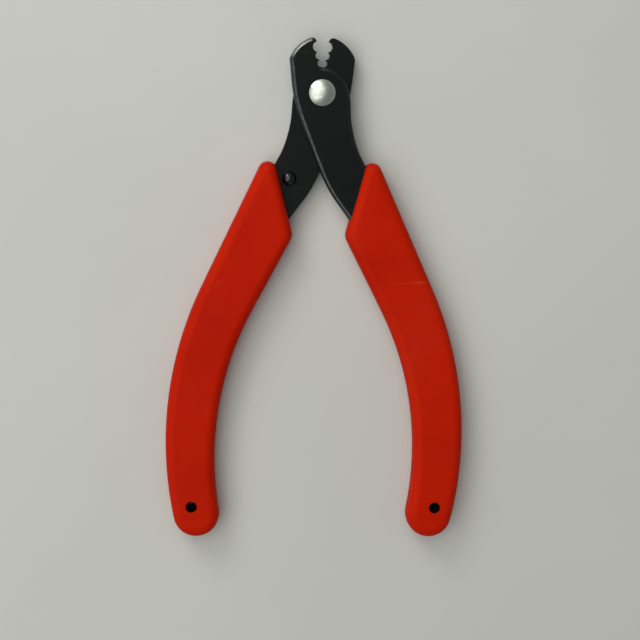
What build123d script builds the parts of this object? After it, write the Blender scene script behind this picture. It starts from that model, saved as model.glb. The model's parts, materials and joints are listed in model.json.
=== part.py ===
from build123d import *
from math import cos, radians, sin, sqrt
import os

# A hand wire stripper and cutter: two crossing stamped steel levers on one
# rivet, with paired round notches in the jaws and moulded grips on the tangs.
# It lies on its back, jaws towards +Y, and is drawn with the handles open.
# Both levers are the same stamping, one turned over about the tool's length,
# so every outline below is drawn once, for the front lever, from the pivot.

# Stack through the thickness
grip_thickness = 10.0
plate_thickness = 3.0
plate_clearance = 0.1
running_clearance = 0.05

# Head and jaw
head_radius = 8.05
shoulder_angle = 62.0
jaw_length = 17.7
tip_half_gap = 2.35
root_half_gap = 0.5
tip_round = 1.4
root_round = 0.6
jaw_back_radius = 11.9
jaw_width = 10.5
heel_height = 10.0
heel_drop = 1.5
heel_step = 0.25
rolled_edge = 1.3

# Notches along the blade: distance from the pivot and radius of each
notch_reaches = (14.4, 11.65, 9.15)
notch_radii = (1.65, 1.3, 1.1)
notch_overhang = 0.1

# Neck, where each edge of a lever runs from the head to its tang
inner_waist = (-9.3, 0.0)
inner_neck = (-4.2, -15.2)
inner_fork = (3.6, -32.4)
outer_shoulder = (9.2, -2.0)
outer_waist = (9.7, -8.6)
outer_neck = (12.2, -18.3)

# Grip outline: how far its end lies from the pivot, and how far apart the two ends stand
handle_reach = 147.55
handle_spread = 78.4
nose_corner = (16.3, -16.8)
mouth_lean = 14.65
mouth_length = 30.5
outer_splay = 25.0
outer_straight = 51.2
inner_splay = 27.55
inner_straight = 27.3
end_radius = 7.55
nose_radius = 2.9
mouth_corner_radius = 3.4
grip_rounding = 3.0

# Tang inside the grip, and the lanyard hole through both
tang_inset = 4.0
tang_end_radius = 4.2
tang_outer_lead = 12.3
tang_inner_lead = 2.6
lanyard_offset = (1.55, 3.1)
lanyard_radius = 1.75
tang_hole_radius = 1.25
lanyard_rim = 0.3

# Pivot rivet and its washer
shank_radius = 2.4
pivot_head_radius = 4.2
pivot_head_height = 1.85
pivot_head_rim = 0.5
tail_radius = 3.4
tail_height = 1.0
tail_round = 0.45
washer_radius = 4.6
washer_thickness = 0.6

# Stop rivet on the rear lever, beside its grip
stop_place = (10.0, -27.75)
stop_shank_radius = 1.2
stop_head_radius = 2.4
stop_head_height = 1.9
stop_head_rim = 0.2
stop_tail_radius = 2.0
stop_tail_height = 0.7

# Return spring, coiled round the rivet in a pocket sunk in both levers
spring_radius = 4.6
spring_wire = 1.0
spring_turns = 1.5
coil_gap = 0.15
spring_leg = 4.5
spring_clearance = 0.4

os.makedirs("parts", exist_ok=True)


def along(degrees_out):
    # A heading down the handle, leaning out by an angle from the tool's axis.
    return Vector(sin(radians(degrees_out)), -cos(radians(degrees_out)))


def inward(heading):
    # The side of a heading that faces the other handle.
    return Vector(heading.Y, -heading.X)


def bend_end(start, heading, centre, radius, side):
    # Where an arc that leaves start along heading runs smoothly into a round
    # end. Side is 1 for the handle's outer edge and -1 for its inner edge.
    reach = start - centre
    normal = inward(heading)
    bend_radius = (radius**2 - reach.dot(reach)) / (2 * (reach.dot(normal) + side * radius))
    bend_centre = start + normal * bend_radius
    return centre + (centre - bend_centre).normalized() * radius * side


def round_end(outer, centre, radius, inner):
    # The far end of a handle, from its outer edge round to its inner edge.
    across = outer - inner
    return ThreePointArc(outer, centre + Vector(across.Y, -across.X).normalized() * radius, inner)


# Corners that the grip and the tang share
outer_heading = along(outer_splay)
inner_heading = along(inner_splay)
nose = Vector(*nose_corner)
grip_end = Vector(handle_spread / 2, end_radius - handle_reach)
mouth_corner = nose - Vector(sin(radians(mouth_lean)), cos(radians(mouth_lean))) * mouth_length
outer_bend_start = nose + outer_heading * outer_straight
inner_bend_start = mouth_corner + inner_heading * inner_straight
lanyard = grip_end + Vector(*lanyard_offset)

# Grip outline
with BuildSketch() as grip_profile:
    with BuildLine():
        outer_end = bend_end(outer_bend_start, outer_heading, grip_end, end_radius, 1)
        inner_end = bend_end(inner_bend_start, inner_heading, grip_end, end_radius, -1)
        Line(nose, outer_bend_start)
        TangentArc(outer_bend_start, outer_end, tangent=outer_heading)
        round_end(outer_end, grip_end, end_radius, inner_end)
        TangentArc(inner_bend_start, inner_end, tangent=inner_heading)
        Line(inner_bend_start, mouth_corner)
        Line(mouth_corner, nose)
    make_face()
    fillet(grip_profile.vertices().sort_by_distance(nose)[0], nose_radius)
    fillet(grip_profile.vertices().sort_by_distance(mouth_corner)[0], mouth_corner_radius)

# Lever outline
tang_outer_shift = inward(outer_heading) * tang_inset
tang_inner_shift = inward(inner_heading) * tang_inset
tang_outer_start = nose + outer_heading * tang_outer_lead + tang_outer_shift
tang_inner_start = mouth_corner + inner_heading * tang_inner_lead - tang_inner_shift
tang_outer_bend = outer_bend_start + tang_outer_shift
tang_inner_bend = inner_bend_start - tang_inner_shift
blade_tip = Vector(-tip_half_gap, jaw_length)
blade_root = Vector(-root_half_gap, sqrt(head_radius**2 - root_half_gap**2))
heel_start = Vector(heel_step - jaw_width, heel_height + heel_drop)
heel_end = Vector(-jaw_width, heel_height)
shoulder = Vector(head_radius, 0).rotate(Axis.Z, shoulder_angle)

with BuildSketch() as lever_profile:
    with BuildLine():
        tang_outer_end = bend_end(tang_outer_bend, outer_heading, lanyard, tang_end_radius, 1)
        tang_inner_end = bend_end(tang_inner_bend, inner_heading, lanyard, tang_end_radius, -1)
        jaw_back = RadiusArc(blade_tip, heel_start, -jaw_back_radius)
        heel = TangentArc(heel_start, heel_end, tangent=jaw_back % 1)
        Spline(
            heel_end,
            inner_waist,
            inner_neck,
            inner_fork,
            tang_inner_start,
            tangents=(heel % 1, inner_heading),
        )
        Line(tang_inner_start, tang_inner_bend)
        TangentArc(tang_inner_bend, tang_inner_end, tangent=inner_heading)
        round_end(tang_outer_end, lanyard, tang_end_radius, tang_inner_end)
        TangentArc(tang_outer_bend, tang_outer_end, tangent=outer_heading)
        Line(tang_outer_bend, tang_outer_start)
        Spline(
            shoulder,
            outer_shoulder,
            outer_waist,
            outer_neck,
            tang_outer_start,
            tangents=(inward(shoulder.normalized()), outer_heading),
        )
        RadiusArc(blade_root, shoulder, head_radius)
        Line(blade_root, blade_tip)
    make_face()
    fillet(lever_profile.vertices().sort_by_distance(blade_tip)[0], tip_round)
    fillet(lever_profile.vertices().sort_by_distance(blade_root)[0], root_round)

# The pivot stands so that the tool's length is centred on the origin. Front
# and rear are the two ways up of the stamping, seen from between the plates.
jaw_reach = lever_profile.sketch.bounding_box().max.Y
grip_reach = grip_profile.sketch.bounding_box().min.Y
pivot = Vector(0, -(jaw_reach + grip_reach) / 2, grip_thickness / 2)
front = Plane(origin=pivot, x_dir=(1, 0, 0), z_dir=(0, 0, 1))
rear = Plane(origin=pivot, x_dir=(-1, 0, 0), z_dir=(0, 0, -1))
plate_face = plate_clearance / 2

# Notches stand on the blade's line, their centres a little way into the gap
blade_line = (blade_tip - blade_root).normalized()
into_gap = Vector(blade_line.Y, -blade_line.X) * notch_overhang
notch_centres = [
    blade_root + blade_line * ((reach - blade_root.Y) / blade_line.Y) + into_gap
    for reach in notch_reaches
]

# Return spring: a coil of round wire whose two ends run on as straight legs
spring_rise = spring_turns * (spring_wire + coil_gap)

with BuildPart() as return_spring:
    with BuildLine() as spring_line:
        coil = Helix(
            pitch=spring_wire + coil_gap,
            height=spring_rise,
            radius=spring_radius,
            center=pivot - Vector(0, 0, spring_rise / 2),
        )
        lower_leg = Line(coil @ 0 - (coil % 0) * spring_leg, coil @ 0)
        upper_leg = Line(coil @ 1, coil @ 1 + (coil % 1) * spring_leg)
    with BuildSketch(Plane(origin=lower_leg @ 0, z_dir=lower_leg % 0)):
        Circle(spring_wire / 2)
    sweep(path=spring_line.wire())
return_spring.part.label = "return_spring"
export_step(return_spring.part, "parts/return_spring.step")

# Each lever's pocket takes half the spring, and its slot holds one leg
spring_height = return_spring.part.bounding_box().size.Z
pocket_radius = spring_radius + spring_wire / 2 + spring_clearance
pocket_depth = (spring_height - plate_clearance) / 2 + running_clearance
slot_width = spring_wire + 2 * running_clearance

levers = {}
for name, side, bore, leg in (
    ("front_lever", front, shank_radius + running_clearance, (coil @ 1, upper_leg @ 1)),
    ("rear_lever", rear, shank_radius, (coil @ 0, lower_leg @ 0)),
):
    slot_line = [(end.X, end.Y) for end in map(side.to_local_coords, leg)]
    with BuildPart() as lever:
        with BuildSketch(side.offset(plate_face)):
            add(lever_profile.sketch)
        extrude(amount=plate_thickness)
        outward = lever.faces().sort_by(Axis(side.origin, side.z_dir))[-1]
        fillet(outward.edges(), rolled_edge)
        with BuildSketch(side.offset(plate_face)):
            Circle(bore)
            with Locations(lanyard):
                Circle(tang_hole_radius)
            for centre, radius in zip(notch_centres, notch_radii):
                with Locations(centre):
                    Circle(radius)
        extrude(amount=plate_thickness, mode=Mode.SUBTRACT)
        with BuildSketch(side.offset(plate_face)):
            Circle(pocket_radius)
            with BuildLine():
                Line(*slot_line)
            trace(line_width=slot_width)
            with Locations(slot_line[-1]):
                Circle(slot_width / 2)
        extrude(amount=pocket_depth, mode=Mode.SUBTRACT)
        if side is rear:
            with BuildSketch(side.offset(plate_face)):
                with Locations(stop_place):
                    Circle(stop_shank_radius)
            extrude(amount=plate_thickness, mode=Mode.SUBTRACT)
    lever.part.label = name
    export_step(lever.part, f"parts/{name}.step")
    levers[name] = lever.part

# Moulded grips, closed round the tangs
for name, side, lever_name in (
    ("right_grip", front, "front_lever"),
    ("left_grip", rear, "rear_lever"),
):
    with BuildPart() as grip:
        with BuildSketch(side.offset(-grip_thickness / 2)):
            add(grip_profile.sketch)
        extrude(amount=grip_thickness)
        broad_faces = grip.faces().filter_by(Axis.Z)
        fillet(broad_faces.edges(), grip_rounding)
        add(levers[lever_name], mode=Mode.SUBTRACT)
        with BuildSketch(side):
            with Locations(lanyard):
                Circle(lanyard_radius)
        extrude(amount=grip_thickness / 2, both=True, mode=Mode.SUBTRACT)
        for depth in (-grip_thickness / 2, grip_thickness / 2):
            rim_centre = side.from_local_coords(Vector(lanyard.X, lanyard.Y, depth))
            circles = grip.edges().filter_by(GeomType.CIRCLE)
            chamfer(circles.sort_by_distance(rim_centre)[0], lanyard_rim)
    grip.part.label = name
    export_step(grip.part, f"parts/{name}.step")

# Pivot rivet: domed head in front, shank through both levers, formed tail
rivet_section = Plane(origin=(pivot.X, pivot.Y, 0), x_dir=(1, 0, 0), z_dir=(0, -1, 0))
rivet_axis = Axis(pivot, (0, 0, 1))
head_seat = pivot.Z + plate_face + plate_thickness + running_clearance
washer_top = pivot.Z - plate_face - plate_thickness
tail_seat = washer_top - washer_thickness
pivot_dome_height = pivot_head_height - pivot_head_rim
pivot_dome_radius = (pivot_head_radius**2 + pivot_dome_height**2) / (2 * pivot_dome_height)

with BuildPart() as pivot_rivet:
    with BuildSketch(rivet_section):
        with BuildLine():
            crown = Vector(0, head_seat + pivot_head_height)
            rim = Vector(pivot_head_radius, head_seat + pivot_head_rim)
            RadiusArc(crown, rim, pivot_dome_radius)
            Polyline(
                rim,
                (pivot_head_radius, head_seat),
                (shank_radius, head_seat),
                (shank_radius, tail_seat),
                (tail_radius, tail_seat),
                (tail_radius, tail_seat - tail_height),
                (0, tail_seat - tail_height),
                crown,
            )
        make_face()
    revolve(axis=rivet_axis)
    fillet(pivot_rivet.faces().sort_by(Axis.Z)[0].edges(), tail_round)
pivot_rivet.part.label = "pivot_rivet"
export_step(pivot_rivet.part, "parts/pivot_rivet.step")

# Washer between the rear lever and the rivet's tail
with BuildPart() as pivot_washer:
    with BuildSketch(Plane(origin=(pivot.X, pivot.Y, tail_seat))):
        Circle(washer_radius)
        Circle(shank_radius, mode=Mode.SUBTRACT)
    extrude(amount=washer_thickness)
pivot_washer.part.label = "pivot_washer"
export_step(pivot_washer.part, "parts/pivot_washer.step")

# Stop rivet: its domed head stands in the way of the closing front lever
stop = rear.from_local_coords(Vector(stop_place[0], stop_place[1], plate_face))
stop_seat = stop.Z
stop_tail_seat = stop_seat - plate_thickness
stop_dome_height = stop_head_height - stop_head_rim
stop_dome_radius = (stop_head_radius**2 + stop_dome_height**2) / (2 * stop_dome_height)

with BuildPart() as stop_rivet:
    with BuildSketch(Plane(origin=(stop.X, stop.Y, 0), x_dir=(1, 0, 0), z_dir=(0, -1, 0))):
        with BuildLine():
            stop_crown = Vector(0, stop_seat + stop_head_height)
            stop_rim = Vector(stop_head_radius, stop_seat + stop_head_rim)
            RadiusArc(stop_crown, stop_rim, stop_dome_radius)
            Polyline(
                stop_rim,
                (stop_head_radius, stop_seat),
                (stop_shank_radius, stop_seat),
                (stop_shank_radius, stop_tail_seat),
                (stop_tail_radius, stop_tail_seat),
            )
            Spline(
                (stop_tail_radius, stop_tail_seat),
                (0, stop_tail_seat - stop_tail_height),
                tangents=((0, -1), (-1, 0)),
            )
            Line((0, stop_tail_seat - stop_tail_height), stop_crown)
        make_face()
    revolve(axis=Axis(stop, (0, 0, 1)))
stop_rivet.part.label = "stop_rivet"
export_step(stop_rivet.part, "parts/stop_rivet.step")
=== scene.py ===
import bpy
import json
from math import cos, radians, sin
from mathutils import Matrix, Vector


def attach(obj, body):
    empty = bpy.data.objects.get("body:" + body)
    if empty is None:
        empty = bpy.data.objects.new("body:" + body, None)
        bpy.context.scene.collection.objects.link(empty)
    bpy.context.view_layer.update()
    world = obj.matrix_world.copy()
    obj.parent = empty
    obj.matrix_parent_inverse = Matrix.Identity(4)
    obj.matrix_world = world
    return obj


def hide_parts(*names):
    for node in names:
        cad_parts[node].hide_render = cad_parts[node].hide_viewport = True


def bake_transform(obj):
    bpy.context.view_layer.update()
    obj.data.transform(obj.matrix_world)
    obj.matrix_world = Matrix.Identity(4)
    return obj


# Wire stripper lying on a pale floor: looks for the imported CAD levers, grips,
# rivets, washer and spring. Metres, jaws towards +Y, front face up.

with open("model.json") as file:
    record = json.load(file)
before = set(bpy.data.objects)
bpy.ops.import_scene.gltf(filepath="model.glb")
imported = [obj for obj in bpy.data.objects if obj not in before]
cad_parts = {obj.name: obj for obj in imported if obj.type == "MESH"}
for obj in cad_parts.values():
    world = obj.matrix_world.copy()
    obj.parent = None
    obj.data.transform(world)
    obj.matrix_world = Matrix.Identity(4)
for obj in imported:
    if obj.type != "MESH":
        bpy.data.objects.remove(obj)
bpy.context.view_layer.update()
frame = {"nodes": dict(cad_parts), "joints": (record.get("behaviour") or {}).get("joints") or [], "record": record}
nodes = frame["nodes"]
mm = 0.001
hinge = Vector(frame["joints"][0]["pos_m"])
number, vector = "NodeSocketFloat", "NodeSocketVector"
print("stage 1: frame loaded with", len(nodes), "nodes")


def addNode(tree, kind, settings=None, values=None):
    node = tree.nodes.new(kind)
    for name, value in (settings or {}).items():
        setattr(node, name, value)
    for name, value in (values or {}).items():
        node.inputs[name].default_value = value
    return node


def feed(tree, socket, value):
    # Puts a plain value on a socket, or links another node's output to it.
    if isinstance(value, (int, float)):
        socket.default_value = value
    elif isinstance(value, (tuple, list)):
        socket.default_value = (*value, 1)
    else:
        tree.links.new(value, socket)


def calculate(tree, operation, first, second=None, clamp=False):
    node = addNode(tree, "ShaderNodeMath", {"operation": operation, "use_clamp": clamp})
    feed(tree, node.inputs[0], first)
    if second is not None:
        feed(tree, node.inputs[1], second)
    return node.outputs[0]


def times(tree, first, second, clamp=False):
    return calculate(tree, "MULTIPLY", first, second, clamp)


def plus(tree, first, second, clamp=False):
    return calculate(tree, "ADD", first, second, clamp)


def ramp(tree, value, low, high, outLow=0.0, outHigh=1.0):
    node = addNode(tree, "ShaderNodeMapRange", {"interpolation_type": "SMOOTHSTEP"})
    feed(tree, node.inputs["Value"], value)
    feed(tree, node.inputs["From Min"], low)
    feed(tree, node.inputs["From Max"], high)
    feed(tree, node.inputs["To Min"], outLow)
    feed(tree, node.inputs["To Max"], outHigh)
    return node.outputs["Result"]


def mixColour(tree, share, first, second):
    # A mix node has sockets for every kind of value: 6 and 7 are the colours, and output 2
    # is their mixture.
    node = addNode(tree, "ShaderNodeMix", {"data_type": "RGBA"})
    feed(tree, node.inputs[0], share)
    feed(tree, node.inputs[6], first)
    feed(tree, node.inputs[7], second)
    return node.outputs[2]


def newGroup(name, inputs, outputs):
    tree = bpy.data.node_groups.new(name, "ShaderNodeTree")
    for label, kind, value in inputs:
        socket = tree.interface.new_socket(label, in_out="INPUT", socket_type=kind)
        socket.default_value = value
    for label in outputs:
        tree.interface.new_socket(label, in_out="OUTPUT", socket_type=number)
    given = tree.nodes.new("NodeGroupInput").outputs
    result = tree.nodes.new("NodeGroupOutput").inputs
    return tree, given, result


def useGroup(tree, group, values=None):
    return addNode(tree, "ShaderNodeGroup", {"node_tree": group}, values).outputs


def splitOf(tree, place):
    node = addNode(tree, "ShaderNodeSeparateXYZ")
    feed(tree, node.inputs[0], place)
    return node.outputs


def placeOf(tree):
    return addNode(tree, "ShaderNodeTexCoord").outputs["Object"]


def leanOf(tree):
    return splitOf(tree, addNode(tree, "ShaderNodeTexCoord").outputs["Normal"])


def noiseOf(tree, place, scale, detail=2.0, **others):
    node = addNode(tree, "ShaderNodeTexNoise", values={"Detail": detail, **others})
    feed(tree, node.inputs["Vector"], place)
    feed(tree, node.inputs["Scale"], scale)
    return node.outputs[0]


# Here a lean is 1 on a flat face and 0 on an upright wall.
edgeLimits = {"aboveWall": (0.08, 0.4), "flat": (0.965, 0.9995), "wall": (0.02, 0.3)}


def makeRoundedEdges(limits):
    # Splits a surface by its lean: 1 on rounded rims, and 1 on upright walls.
    tree, _, result = newGroup("roundedEdges", [], ["Rim", "Wall"])
    lean = calculate(tree, "ABSOLUTE", leanOf(tree)["Z"])
    aboveWall = ramp(tree, lean, *limits["aboveWall"])
    belowFlat = ramp(tree, lean, *limits["flat"], 1.0, 0.0)
    feed(tree, result["Rim"], times(tree, aboveWall, belowFlat))
    feed(tree, result["Wall"], ramp(tree, lean, *limits["wall"], 1.0, 0.0))
    return tree


grainLimits = {
    "fine": {"detail": 3.0, "Roughness": 0.6},
    "broad": {"detail": 4.0, "Roughness": 0.55, "Distortion": 0.3},
    "patch": (0.3, 0.7),
}


def makeGrain(limits):
    # Fine grain over broad cloudy patches.
    inputs = [
        ("Grain per metre", number, 1800.0),
        ("Patches per metre", number, 60.0),
        ("Stretch", vector, (1, 1, 1)),
    ]
    tree, given, result = newGroup("surfaceGrain", inputs, ["Grain", "Patches"])
    place = placeOf(tree)
    stretched = addNode(tree, "ShaderNodeVectorMath", {"operation": "MULTIPLY"})
    feed(tree, stretched.inputs[0], place)
    feed(tree, stretched.inputs[1], given["Stretch"])
    fine = noiseOf(tree, stretched.outputs[0], given["Grain per metre"], **limits["fine"])
    broad = noiseOf(tree, place, given["Patches per metre"], **limits["broad"])
    feed(tree, result["Grain"], fine)
    feed(tree, result["Patches"], ramp(tree, broad, *limits["patch"]))
    return tree


markLimits = {
    "squeezes": ((1.0, 0.06, 1.0), (0.09, 1.0, 1.0)),  # one set along, one set across
    "hairline": (0.66, 0.74),
    "patchesPerMetre": 110.0,
    "patch": (0.42, 0.66),
}


def makeRubMarks(limits):
    # Short hairline rub marks that lie across each other, kept to some patches.
    inputs = [
        ("Marks per metre", number, 900.0),
        ("Amount", number, 0.5),
        ("Turn", vector, (0.0, 0.0, 0.6)),
    ]
    tree, given, result = newGroup("rubMarks", inputs, ["Marks"])
    place = placeOf(tree)
    found = []
    for squeeze in limits["squeezes"]:
        turned = addNode(tree, "ShaderNodeMapping", values={"Scale": squeeze})
        feed(tree, turned.inputs["Vector"], place)
        feed(tree, turned.inputs["Rotation"], given["Turn"])
        lines = noiseOf(tree, turned.outputs[0], given["Marks per metre"])
        found.append(ramp(tree, lines, *limits["hairline"]))
    where = ramp(tree, noiseOf(tree, place, limits["patchesPerMetre"]), *limits["patch"])
    kept = times(tree, calculate(tree, "MAXIMUM", *found), where)
    feed(tree, result["Marks"], times(tree, kept, given["Amount"]))
    return tree


dustLimits = {
    "speckRadius": (0.06, 0.16),  # in cells of the speck pattern
    "rarity": (0.7, 0.86),
    "filmPerMetre": 45.0,
    "filmDetail": 5.0,
    "film": (0.5, 0.8),
    "filmAmount": 0.35,
    "upward": (0.3, 0.95),
}


def makeDust(limits):
    # Specks and a thin film of dust on faces that look up.
    inputs = [("Specks per metre", number, 700.0), ("Amount", number, 0.3)]
    tree, given, result = newGroup("settledDust", inputs, ["Dust"])
    place = placeOf(tree)
    specks = addNode(tree, "ShaderNodeTexVoronoi", {"feature": "F1"}, {"Randomness": 1.0})
    feed(tree, specks.inputs["Vector"], place)
    feed(tree, specks.inputs["Scale"], given["Specks per metre"])
    dots = ramp(tree, specks.outputs["Distance"], *limits["speckRadius"], 1.0, 0.0)
    chance = addNode(tree, "ShaderNodeSeparateColor")
    feed(tree, chance.inputs[0], specks.outputs["Color"])
    few = times(tree, dots, ramp(tree, chance.outputs[0], *limits["rarity"]))
    clouds = noiseOf(tree, place, limits["filmPerMetre"], limits["filmDetail"])
    film = ramp(tree, clouds, *limits["film"], 0.0, limits["filmAmount"])
    cover = plus(tree, few, film, clamp=True)
    lying = times(tree, cover, ramp(tree, leanOf(tree)["Z"], *limits["upward"]))
    feed(tree, result["Dust"], times(tree, lying, given["Amount"]))
    return tree


creaseLimits = {
    "wanderPerMetre": 190.0,
    "noiseMiddle": 0.5,
    "fadeFrom": 0.35,  # share of a crease's half length
}


def makeCrease(limits):
    # A short pale crease that runs nearly straight and fades at both ends.
    inputs = [
        ("Middle", vector, (0, 0, 0)),
        ("Turn", vector, (0, 0, 0)),
        ("Half length", number, 0.005),
        ("Half width", number, 0.0003),
        ("Wander", number, 0.0008),
        ("Strength", number, 0.5),
    ]
    tree, given, result = newGroup("paleCrease", inputs, ["Mark"])
    place = placeOf(tree)
    placed = addNode(tree, "ShaderNodeMapping", {"vector_type": "TEXTURE"})
    feed(tree, placed.inputs["Vector"], place)
    feed(tree, placed.inputs["Location"], given["Middle"])
    feed(tree, placed.inputs["Rotation"], given["Turn"])
    parts = splitOf(tree, placed.outputs[0])
    noise = noiseOf(tree, place, limits["wanderPerMetre"])
    wobble = calculate(tree, "SUBTRACT", noise, limits["noiseMiddle"])
    drift = times(tree, wobble, given["Wander"])
    across = calculate(tree, "ABSOLUTE", plus(tree, parts["Y"], drift))
    line = ramp(tree, across, 0.0, given["Half width"], 1.0, 0.0)
    along = calculate(tree, "ABSOLUTE", parts["X"])
    fadeStart = times(tree, given["Half length"], limits["fadeFrom"])
    reach = ramp(tree, along, fadeStart, given["Half length"], 1.0, 0.0)
    faded = times(tree, line, reach)
    feed(tree, result["Mark"], times(tree, faded, given["Strength"]))
    return tree


holeShadeLimits = {"fullWithin": 0.92}  # share of the radius where the painted shade is at its darkest


def makeHoleGrime(limits):
    # Painted shade down a hole at Hole, and down the same hole on the other side, where the hole's depth lies in
    # shade.
    inputs = [("Hole", vector, (0, 0, 0)), ("Radius", number, 0.002)]
    tree, given, result = newGroup("holeGrime", inputs, ["Grime"])
    place = splitOf(tree, placeOf(tree))
    hole = splitOf(tree, given["Hole"])
    aside = calculate(tree, "SUBTRACT", calculate(tree, "ABSOLUTE", place["X"]), hole["X"])
    along = calculate(tree, "SUBTRACT", place["Y"], hole["Y"])
    squares = [times(tree, part, part) for part in (aside, along)]
    away = calculate(tree, "SQRT", plus(tree, *squares))
    edge = times(tree, given["Radius"], limits["fullWithin"])
    feed(tree, result["Grime"], ramp(tree, away, edge, given["Radius"], 1.0, 0.0))
    return tree


roundedEdges = makeRoundedEdges(edgeLimits)
surfaceGrain = makeGrain(grainLimits)
rubMarks = makeRubMarks(markLimits)
settledDust = makeDust(dustLimits)
paleCrease = makeCrease(creaseLimits)
holeGrime = makeHoleGrime(holeShadeLimits)
print("stage 2: shared effects ready")


def newMaterial(name, settings):
    # A material with only its Principled shader, its plain values set on it.
    material = bpy.data.materials.new(name)
    material.use_nodes = True
    shader = material.node_tree.nodes["Principled BSDF"]
    for socket, value in settings.items():
        shader.inputs[socket].default_value = value
    return material, material.node_tree, shader


def roughen(tree, shader, height, distance):
    bump = addNode(tree, "ShaderNodeBump", values={"Distance": distance, "Strength": 1.0})
    feed(tree, bump.inputs["Height"], height)
    feed(tree, shader.inputs["Normal"], bump.outputs[0])


leverFinish = {
    "oxide": (0.0022, 0.0030, 0.0029),
    "oxidePatch": (0.0042, 0.0054, 0.0053),
    "wornEdge": (0.17, 0.175, 0.175),
    "noseWearAndHighlight": (0.55, 0.56, 0.55),  # worn edge colour with a painted highlight, on rims that lean left and towards the jaws' tips
    "shearedWall": (0.005, 0.0055, 0.0055),
    "dusty": (0.04, 0.04, 0.038),
    "specular": 0.10,
    "rimWear": 0.42,
    "wearShine": 2.6,
    "rightLeanShadedWear": 0.30,  # share of the wear left on rims that lean to the right, a painted shade on that side
    "leansRight": (-0.1, 0.3),  # between these parts of the surface normal along X
    "leansLeft": (-0.2, 0.05),
    "leansForward": (0.10, 0.35),  # and along Y
    "wearBreaks": (0.35, 0.62),
    "leastWear": 0.45,
    "grain": {"Grain per metre": 2600.0, "Patches per metre": 85.0},
    "streaks": {"Grain per metre": 1500.0, "Stretch": (1.0, 1.0, 0.12)},
    "streakEdge": (0.4, 0.6),
    "tornDepth": 1.5,
    "marks": {"Marks per metre": 650.0, "Amount": 0.08},
    "dust": {"Specks per metre": 520.0, "Amount": 0.18},
    "dustDulls": 0.3,
    "roughness": (0.24, 0.33),
    "bumpHeight": 0.000012,
}


def makeLeverSteel(look):
    settings = {"Specular IOR Level": look["specular"]}
    material, tree, shader = newMaterial("blackOxideSteel", settings)
    edges = useGroup(tree, roundedEdges)
    grain = useGroup(tree, surfaceGrain, look["grain"])
    marks = useGroup(tree, rubMarks, look["marks"])
    dust = useGroup(tree, settledDust, look["dust"])
    streaks = useGroup(tree, surfaceGrain, look["streaks"])
    face = mixColour(tree, grain["Patches"], look["oxide"], look["oxidePatch"])
    wallShare = times(tree, edges["Wall"], ramp(tree, streaks["Grain"], *look["streakEdge"]))
    walled = mixColour(tree, wallShare, face, look["shearedWall"])
    breakUp = ramp(tree, grain["Grain"], *look["wearBreaks"], look["leastWear"], 1.0)
    lean = leanOf(tree)
    # Painted shade: rims that lean to the right keep less of their worn, shinier colour, so they stay dark.
    rightLeanShade = ramp(tree, lean["X"], *look["leansRight"], 1.0, look["rightLeanShadedWear"])
    # Rims that lean left and towards the jaws' tips get a lighter worn colour: edge wear and a painted highlight.
    onLeft = ramp(tree, lean["X"], *look["leansLeft"], 1.0, 0.0)
    noseHighlightShare = times(tree, ramp(tree, lean["Y"], *look["leansForward"]), onLeft)
    edgeWearAndHighlight = mixColour(tree, noseHighlightShare, look["wornEdge"], look["noseWearAndHighlight"])
    shadedRimWear = times(tree, times(tree, edges["Rim"], breakUp), rightLeanShade)
    bare = plus(tree, times(tree, shadedRimWear, look["rimWear"]), marks["Marks"], clamp=True)
    wornWithPaintedLight = mixColour(tree, bare, walled, edgeWearAndHighlight)
    dusted = mixColour(tree, dust["Dust"], wornWithPaintedLight, look["dusty"])
    feed(tree, shader.inputs["Base Color"], dusted)
    feed(tree, shader.inputs["Metallic"], times(tree, bare, look["wearShine"], clamp=True))
    satin = ramp(tree, grain["Patches"], 0.0, 1.0, *look["roughness"])
    dulled = times(tree, dust["Dust"], look["dustDulls"])
    feed(tree, shader.inputs["Roughness"], plus(tree, satin, dulled))
    torn = times(tree, wallShare, look["tornDepth"])
    roughen(tree, shader, plus(tree, grain["Grain"], torn), look["bumpHeight"])
    return material


gripFinish = {
    "red": (0.505, 0.0120, 0.0003),
    "deepRed": (0.450, 0.0085, 0.0002),
    "rubbedRed": (0.520, 0.0190, 0.0008),
    "creased": (0.640, 0.0700, 0.0250),
    "dusty": (0.46, 0.14, 0.10),
    "holeShadeDark": (0.012, 0.0015, 0.001),
    "specular": 0.04,
    "hole": tuple(frame["record"]["mounts"][0]["pos_m"]),  # both holes stand this far out
    "holeShadeRadius": 1.95 * mm,
    "peel": {"Grain per metre": 1500.0, "Patches per metre": 38.0},
    "peelDepth": 0.45,
    "waves": {"Grain per metre": 170.0, "Patches per metre": 20.0},
    "handled": (0.2, 0.8),
    "handledWear": (0.06, 0.20),
    "marks": {"Marks per metre": 420.0, "Amount": 0.22, "Turn": (0.0, 0.0, 0.35)},
    "dust": {"Specks per metre": 420.0, "Amount": 0.08},
    "dustDulls": 0.3,
    "roughness": (0.44, 0.54),
    "bumpHeight": 0.00005,
    "creaseHeight": 2.0,
    "creases": (
        {
            "Middle": (0.0338, 0.0046, 0.009),
            "Half length": 0.0030,
            "Half width": 0.0005,
            "Strength": 0.45,
        },
        {
            "Middle": (0.0292, 0.0042, 0.010),
            "Half length": 0.0078,
            "Half width": 0.0003,
            "Strength": 0.22,
        },
        {
            "Middle": (-0.0320, 0.0041, 0.010),
            "Turn": (0, 0, 0.3),
            "Half length": 0.0016,
            "Strength": 0.3,
        },
        {
            "Middle": (-0.0333, 0.0027, 0.010),
            "Turn": (0, 0, 0.1),
            "Half length": 0.0018,
            "Strength": 0.25,
        },
    ),
}


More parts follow.
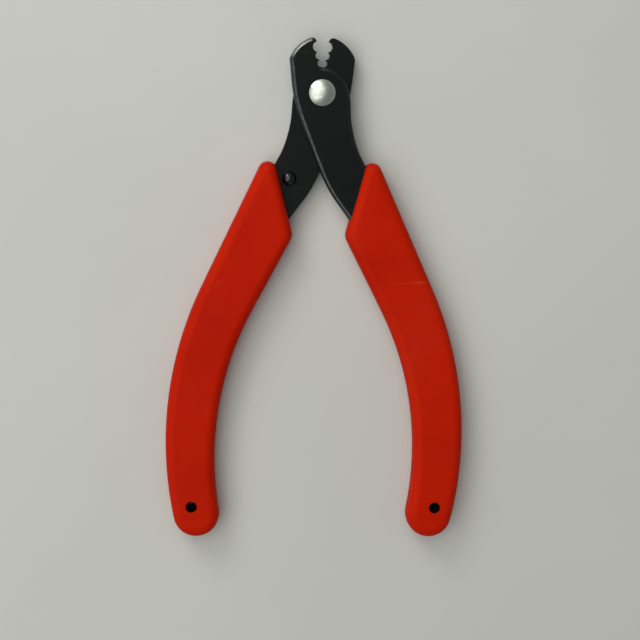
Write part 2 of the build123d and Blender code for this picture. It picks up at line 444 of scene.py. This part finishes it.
def makeGripVinyl(look):
    settings = {"Specular IOR Level": look["specular"]}
    material, tree, shader = newMaterial("redGripVinyl", settings)
    edges = useGroup(tree, roundedEdges)
    peel = useGroup(tree, surfaceGrain, look["peel"])
    waves = useGroup(tree, surfaceGrain, look["waves"])
    marks = useGroup(tree, rubMarks, look["marks"])
    dust = useGroup(tree, settledDust, look["dust"])
    crease = 0.0
    for values in look["creases"]:
        crease = calculate(tree, "MAXIMUM", crease, useGroup(tree, paleCrease, values)["Mark"])
    face = mixColour(tree, peel["Patches"], look["deepRed"], look["red"])
    handling = ramp(tree, waves["Patches"], *look["handled"], *look["handledWear"])
    bare = plus(tree, times(tree, edges["Rim"], handling), marks["Marks"], clamp=True)
    handled = mixColour(tree, bare, face, look["rubbedRed"])
    marked = mixColour(tree, crease, handled, look["creased"])
    dusted = mixColour(tree, dust["Dust"], marked, look["dusty"])
    hole = {"Hole": look["hole"], "Radius": look["holeShadeRadius"]}
    # Painted shade darkens the inside of both lanyard holes.
    shadeInHole = useGroup(tree, holeGrime, hole)["Grime"]
    feed(tree, shader.inputs["Base Color"], mixColour(tree, shadeInHole, dusted, look["holeShadeDark"]))
    satin = ramp(tree, waves["Patches"], 0.0, 1.0, *look["roughness"])
    dulled = times(tree, dust["Dust"], look["dustDulls"])
    feed(tree, shader.inputs["Roughness"], plus(tree, satin, dulled))
    skin = plus(tree, times(tree, peel["Grain"], look["peelDepth"]), waves["Grain"])
    lifted = times(tree, crease, look["creaseHeight"])
    roughen(tree, shader, plus(tree, skin, lifted), look["bumpHeight"])
    return material


rivetFinish = {
    "plate": (0.70, 0.72, 0.64),
    "tarnish": (0.42, 0.44, 0.37),
    "patchTarnish": 0.6,
    "wallTarnish": 0.4,
    "grain": {"Grain per metre": 3000.0, "Patches per metre": 1000.0},
    "pitDepth": 0.3,
    "marks": {"Marks per metre": 1200.0, "Amount": 0.6, "Turn": (0.0, 0.0, 1.1)},
    "markDulls": 0.15,
    "dust": {"Specks per metre": 900.0, "Amount": 0.22},
    "dimples": {"Scale": 1500.0, "Smoothness": 0.6},
    "roughness": (0.33, 0.43),
    "bumpHeight": 0.00004,
}


def makeRivetPlate(look):
    material, tree, shader = newMaterial("platedRivet", {"Metallic": 1.0})
    edges = useGroup(tree, roundedEdges)
    grain = useGroup(tree, surfaceGrain, look["grain"])
    marks = useGroup(tree, rubMarks, look["marks"])
    dust = useGroup(tree, settledDust, look["dust"])
    kind = {"feature": "SMOOTH_F1"}
    dimples = addNode(tree, "ShaderNodeTexVoronoi", kind, look["dimples"])
    feed(tree, dimples.inputs["Vector"], placeOf(tree))
    inPatches = times(tree, grain["Patches"], look["patchTarnish"])
    onWall = times(tree, edges["Wall"], look["wallTarnish"])
    dull = plus(tree, inPatches, onWall, clamp=True)
    plated = mixColour(tree, dull, look["plate"], look["tarnish"])
    dusted = mixColour(tree, dust["Dust"], plated, look["tarnish"])
    feed(tree, shader.inputs["Base Color"], dusted)
    satin = ramp(tree, grain["Patches"], 0.0, 1.0, *look["roughness"])
    scuffed = times(tree, marks["Marks"], look["markDulls"])
    feed(tree, shader.inputs["Roughness"], plus(tree, satin, scuffed))
    pitted = times(tree, grain["Grain"], look["pitDepth"])
    roughen(tree, shader, plus(tree, dimples.outputs["Distance"], pitted), look["bumpHeight"])
    return material


enamelFinish = {
    "enamel": (0.004, 0.004, 0.0045),
    "chipped": (0.045, 0.045, 0.045),
    "specular": 0.55,
    "grain": {"Grain per metre": 1400.0, "Patches per metre": 600.0},
    "chipEdge": (0.58, 0.66),
    "marks": {"Marks per metre": 1500.0, "Amount": 0.4},
    "dust": {"Specks per metre": 1400.0, "Amount": 0.15},
    "roughness": (0.08, 0.14),
    "bumpHeight": 0.00001,
}


def makeStopEnamel(look):
    settings = {"Specular IOR Level": look["specular"]}
    material, tree, shader = newMaterial("blackEnamelRivet", settings)
    edges = useGroup(tree, roundedEdges)
    grain = useGroup(tree, surfaceGrain, look["grain"])
    marks = useGroup(tree, rubMarks, look["marks"])
    dust = useGroup(tree, settledDust, look["dust"])
    chips = times(tree, edges["Wall"], ramp(tree, grain["Grain"], *look["chipEdge"]))
    bare = plus(tree, chips, marks["Marks"], clamp=True)
    painted = mixColour(tree, bare, look["enamel"], look["chipped"])
    dusted = mixColour(tree, dust["Dust"], painted, look["chipped"])
    feed(tree, shader.inputs["Base Color"], dusted)
    satin = ramp(tree, grain["Patches"], 0.0, 1.0, *look["roughness"])
    feed(tree, shader.inputs["Roughness"], satin)
    roughen(tree, shader, grain["Grain"], look["bumpHeight"])
    return material


turnedFinish = {
    "grain": {"Grain per metre": 2600.0, "Patches per metre": 300.0},
    "grainLimits": (0.3, 0.7),
    "patchDulls": 0.7,
    "marks": {"Marks per metre": 1400.0, "Amount": 0.5},
    "markDulls": 0.1,
    "dust": {"Specks per metre": 1100.0, "Amount": 0.25},
    "rings": {"Distortion": 1.5, "Detail": 2.0},
    "zincWasher": {
        "bright": (0.50, 0.50, 0.48),
        "dull": (0.32, 0.32, 0.30),
        "ringScale": 210.0,
        "roughness": (0.30, 0.46),
        "bumpHeight": 0.000012,
    },
    "springWire": {
        "bright": (0.40, 0.40, 0.41),
        "dull": (0.22, 0.21, 0.20),
        "ringScale": 260.0,
        "roughness": (0.26, 0.42),
        "bumpHeight": 0.000008,
    },
}


def makeTurnedSteel(name, shared):
    # Bare steel with fine rings round the rivet's axis, as turned or drawn work has.
    own = shared[name]
    material, tree, shader = newMaterial(name, {"Metallic": 1.0})
    grain = useGroup(tree, surfaceGrain, shared["grain"])
    marks = useGroup(tree, rubMarks, shared["marks"])
    dust = useGroup(tree, settledDust, shared["dust"])
    centred = addNode(tree, "ShaderNodeMapping", values={"Location": tuple(-hinge)})
    feed(tree, centred.inputs["Vector"], placeOf(tree))
    kind = {"wave_type": "RINGS", "rings_direction": "Z"}
    sizes = {"Scale": own["ringScale"], **shared["rings"]}
    rings = addNode(tree, "ShaderNodeTexWave", kind, sizes)
    feed(tree, rings.inputs["Vector"], centred.outputs[0])
    inPatches = times(tree, grain["Patches"], shared["patchDulls"])
    metal = mixColour(tree, inPatches, own["bright"], own["dull"])
    dusted = mixColour(tree, dust["Dust"], metal, own["dull"])
    feed(tree, shader.inputs["Base Color"], dusted)
    satin = ramp(tree, grain["Grain"], *shared["grainLimits"], *own["roughness"])
    scuffed = times(tree, marks["Marks"], shared["markDulls"])
    feed(tree, shader.inputs["Roughness"], plus(tree, satin, scuffed))
    roughen(tree, shader, rings.outputs["Fac"], own["bumpHeight"])
    return material


leverSteel = makeLeverSteel(leverFinish)
gripVinyl = makeGripVinyl(gripFinish)
finishes = {
    "front_lever": leverSteel,
    "rear_lever": leverSteel,
    "right_grip": gripVinyl,
    "left_grip": gripVinyl,
    "pivot_rivet": makeRivetPlate(rivetFinish),
    "pivot_washer": makeTurnedSteel("zincWasher", turnedFinish),
    "stop_rivet": makeStopEnamel(enamelFinish),
    "return_spring": makeTurnedSteel("springWire", turnedFinish),
}
for name, material in finishes.items():
    for materialSlot in nodes[name].material_slots:
        materialSlot.material = material
print("stage 3: finishes on", len(finishes), "nodes")

partingLine = {
    "Wall foot": 3.0 * mm,  # height at which a grip's upright wall begins
    "Foot tolerance": 0.004 * mm,
    "Weld distance": 0.002 * mm,
    "Line height": 5.0 * mm,  # where the two halves of the mould met
    "Ridge radius": 0.13 * mm,
    "Ridge corners": 6,
}


def makePartingTree(look):
    # Follows the foot of a grip's outer wall, lifts that path to mid height and
    # sweeps a fine ridge along it.
    tree = bpy.data.node_groups.new("partingRidge", "GeometryNodeTree")
    face = tree.interface
    face.new_socket("Geometry", in_out="INPUT", socket_type="NodeSocketGeometry")
    for label, value in look.items():
        kind = "NodeSocketInt" if isinstance(value, int) else number
        face.new_socket(label, in_out="INPUT", socket_type=kind).default_value = value
    face.new_socket("Finish", in_out="INPUT", socket_type="NodeSocketMaterial")
    face.new_socket("Geometry", in_out="OUTPUT", socket_type="NodeSocketGeometry")
    given = tree.nodes.new("NodeGroupInput").outputs
    result = tree.nodes.new("NodeGroupOutput").inputs
    welded = addNode(tree, "GeometryNodeMergeByDistance")
    feed(tree, welded.inputs["Geometry"], given["Geometry"])
    feed(tree, welded.inputs["Distance"], given["Weld distance"])
    ends = addNode(tree, "GeometryNodeInputMeshEdgeVertices")
    bothEnds = addNode(tree, "FunctionNodeBooleanMath", {"operation": "AND"})
    equal = {"data_type": "FLOAT", "operation": "EQUAL"}
    for index, place in enumerate(("Position 1", "Position 2")):
        onFoot = addNode(tree, "FunctionNodeCompare", equal)
        feed(tree, onFoot.inputs["Epsilon"], given["Foot tolerance"])
        feed(tree, onFoot.inputs[0], splitOf(tree, ends.outputs[place])["Z"])
        feed(tree, onFoot.inputs[1], given["Wall foot"])
        feed(tree, bothEnds.inputs[index], onFoot.outputs[0])
    path = addNode(tree, "GeometryNodeMeshToCurve")
    feed(tree, path.inputs["Mesh"], welded.outputs[0])
    feed(tree, path.inputs["Selection"], bothEnds.outputs[0])
    parts = splitOf(tree, addNode(tree, "GeometryNodeInputPosition").outputs[0])
    lifted = addNode(tree, "ShaderNodeCombineXYZ")
    feed(tree, lifted.inputs["X"], parts["X"])
    feed(tree, lifted.inputs["Y"], parts["Y"])
    feed(tree, lifted.inputs["Z"], given["Line height"])
    moved = addNode(tree, "GeometryNodeSetPosition")
    feed(tree, moved.inputs["Geometry"], path.outputs[0])
    feed(tree, moved.inputs["Position"], lifted.outputs[0])
    profile = addNode(tree, "GeometryNodeCurvePrimitiveCircle")
    feed(tree, profile.inputs["Resolution"], given["Ridge corners"])
    feed(tree, profile.inputs["Radius"], given["Ridge radius"])
    ridge = addNode(tree, "GeometryNodeCurveToMesh")
    feed(tree, ridge.inputs["Curve"], moved.outputs[0])
    feed(tree, ridge.inputs["Profile Curve"], profile.outputs[0])
    realized = addNode(tree, "GeometryNodeRealizeInstances")
    feed(tree, realized.inputs[0], ridge.outputs[0])
    painted = addNode(tree, "GeometryNodeSetMaterial")
    feed(tree, painted.inputs["Geometry"], realized.outputs[0])
    feed(tree, painted.inputs["Material"], given["Finish"])
    feed(tree, result["Geometry"], painted.outputs[0])
    return tree


def evaluatedMesh(name, start, tree, choices):
    # Runs a tree on a copy of a mesh and keeps the result as a plain object.
    holder = bpy.data.objects.new(name + "Maker", start.copy())
    bpy.context.scene.collection.objects.link(holder)
    maker = holder.modifiers.new("maker", "NODES")
    maker.node_group = tree
    for item in tree.interface.items_tree:
        if item.item_type == "SOCKET" and item.in_out == "INPUT" and item.name in choices:
            maker[item.identifier] = choices[item.name]
    bpy.context.view_layer.update()
    graph = bpy.context.evaluated_depsgraph_get()
    mesh = bpy.data.meshes.new_from_object(holder.evaluated_get(graph), depsgraph=graph)
    holder.modifiers.remove(maker)
    bpy.data.objects.remove(holder)
    mesh.name = name
    piece = bpy.data.objects.new(name, mesh)
    bpy.context.scene.collection.objects.link(piece)
    return piece


partingTree = makePartingTree(partingLine)
choices = {**partingLine, "Finish": gripVinyl}
for side, body in (("right", "front_half"), ("left", "rear_half")):
    gripMesh = nodes[side + "_grip"].data
    ridge = evaluatedMesh(side + "PartingLine", gripMesh, partingTree, choices)
    ridge.data.polygons.foreach_set("use_smooth", [True] * len(ridge.data.polygons))
    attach(ridge, body)


def makeTwistingSpring(finish):
    # A copy of the CAD spring's own shape, with the spring finish, shown in place of the CAD spring, which is
    # hidden.
    bpy.context.view_layer.update()
    mesh = nodes["return_spring"].data.copy()
    mesh.name = "twistingSpring"
    mesh.transform(nodes["return_spring"].matrix_world)
    mesh.materials.clear()
    mesh.materials.append(finish)
    spring = bpy.data.objects.new("twistingSpring", mesh)
    bpy.context.scene.collection.objects.link(spring)
    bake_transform(spring)
    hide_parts("return_spring")


makeTwistingSpring(finishes["return_spring"])

floorLook = {
    "colour": (0.600, 0.600, 0.550),
    "patchShade": 0.96,
    "grain": {"Grain per metre": 900.0, "Patches per metre": 9.0},
    "surface": {"Roughness": 0.85, "Specular IOR Level": 0.2},
    "level": -0.02 * mm,  # a hair under the grips, so that no two faces lie in one plane
    "halfWidth": 0.80,
    "fadeFrom": 0.16,  # from here out to the edge the floor melts into the room
}


def makeFloor(look):
    half = look["halfWidth"]
    signs = ((-1, -1), (1, -1), (1, 1), (-1, 1))
    corners = [(half * x, half * y, look["level"]) for x, y in signs]
    mesh = bpy.data.meshes.new("floor")
    mesh.from_pydata(corners, [], [(0, 1, 2, 3)])
    floor = bpy.data.objects.new("floor", mesh)
    bpy.context.scene.collection.objects.link(floor)
    material, tree, shader = newMaterial("paleFloor", look["surface"])
    grain = useGroup(tree, surfaceGrain, look["grain"])
    darker = tuple(look["patchShade"] * share for share in look["colour"])
    clouded = mixColour(tree, grain["Patches"], look["colour"], darker)
    feed(tree, shader.inputs["Base Color"], clouded)
    reach = addNode(tree, "ShaderNodeVectorMath", {"operation": "LENGTH"})
    feed(tree, reach.inputs[0], placeOf(tree))
    cover = ramp(tree, reach.outputs["Value"], look["fadeFrom"], half, 1.0, 0.0)
    feed(tree, shader.inputs["Alpha"], cover)
    mesh.materials.append(material)
    return floor


makeFloor(floorLook)

# Each lamp aims at the origin from a turn about +Z and a tilt off straight up.
lampSetup = {
    "softbox": {
        "turn": 160.0,
        "tilt": 26.0,
        "distance": 1.00,
        "size": (2.26, 1.24),
        "watts": 10.4,
    },
    "window": {
        "turn": 122.0,
        "tilt": 60.0,
        "distance": 0.85,
        "size": (0.42, 0.32),
        "watts": 2.0,
    },
}


def makeLamp(name, look):
    data = bpy.data.lights.new(name, "AREA")
    data.shape = "ELLIPSE"
    data.size, data.size_y = look["size"]
    data.energy = look["watts"]
    turn, tilt = radians(look["turn"]), radians(look["tilt"])
    towards = Vector((sin(tilt) * cos(turn), sin(tilt) * sin(turn), cos(tilt)))
    place = towards * look["distance"]
    lamp = bpy.data.objects.new(name, data)
    lamp.location = place
    lamp.rotation_mode = "QUATERNION"
    lamp.rotation_quaternion = (-place).to_track_quat("-Z", "Y")
    bpy.context.scene.collection.objects.link(lamp)


for lampName, lampLook in lampSetup.items():
    makeLamp(lampName, lampLook)

# The room is pale near the horizon and dimmer overhead, by the sine of the height.
roomLight = {
    "overhead": (0.16, 0.17, 0.18),
    "horizon": (0.62, 0.62, 0.61),
    "paleBelow": 0.12,
    "dimAbove": 0.32,
}


def makeRoom(look):
    world = bpy.data.worlds.new("room")
    world.use_nodes = True
    tree = world.node_tree
    direction = addNode(tree, "ShaderNodeTexCoord").outputs["Generated"]
    height = splitOf(tree, direction)["Z"]
    share = ramp(tree, height, look["paleBelow"], look["dimAbove"])
    colour = mixColour(tree, share, look["horizon"], look["overhead"])
    feed(tree, tree.nodes["Background"].inputs["Color"], colour)
    bpy.context.scene.world = world


makeRoom(roomLight)
bpy.context.scene.view_settings.view_transform = "Standard"

photoCamera = {
    "place": (-0.02780, 0.06064, 0.44682),
    "roll": 0.676,
    "pitch": -9.0,
    "yaw": -3.587,
    "lens": 76.24,
    "sensor": 36.0,
    "clipStart": 0.01,
}


def makeCamera(look):
    data = bpy.data.cameras.new("photoCamera")
    data.sensor_width = look["sensor"]
    data.lens = look["lens"]
    data.clip_start = look["clipStart"]
    camera = bpy.data.objects.new("photoCamera", data)
    turned = Matrix.Rotation(radians(look["roll"]), 4, "Z")
    turned = turned @ Matrix.Rotation(radians(look["pitch"]), 4, "X")
    turned = turned @ Matrix.Rotation(radians(look["yaw"]), 4, "Y")
    camera.matrix_world = Matrix.Translation(look["place"]) @ turned
    bpy.context.scene.collection.objects.link(camera)
    bpy.context.scene.camera = camera


makeCamera(photoCamera)
print("stage 5: floor, lamps and camera")
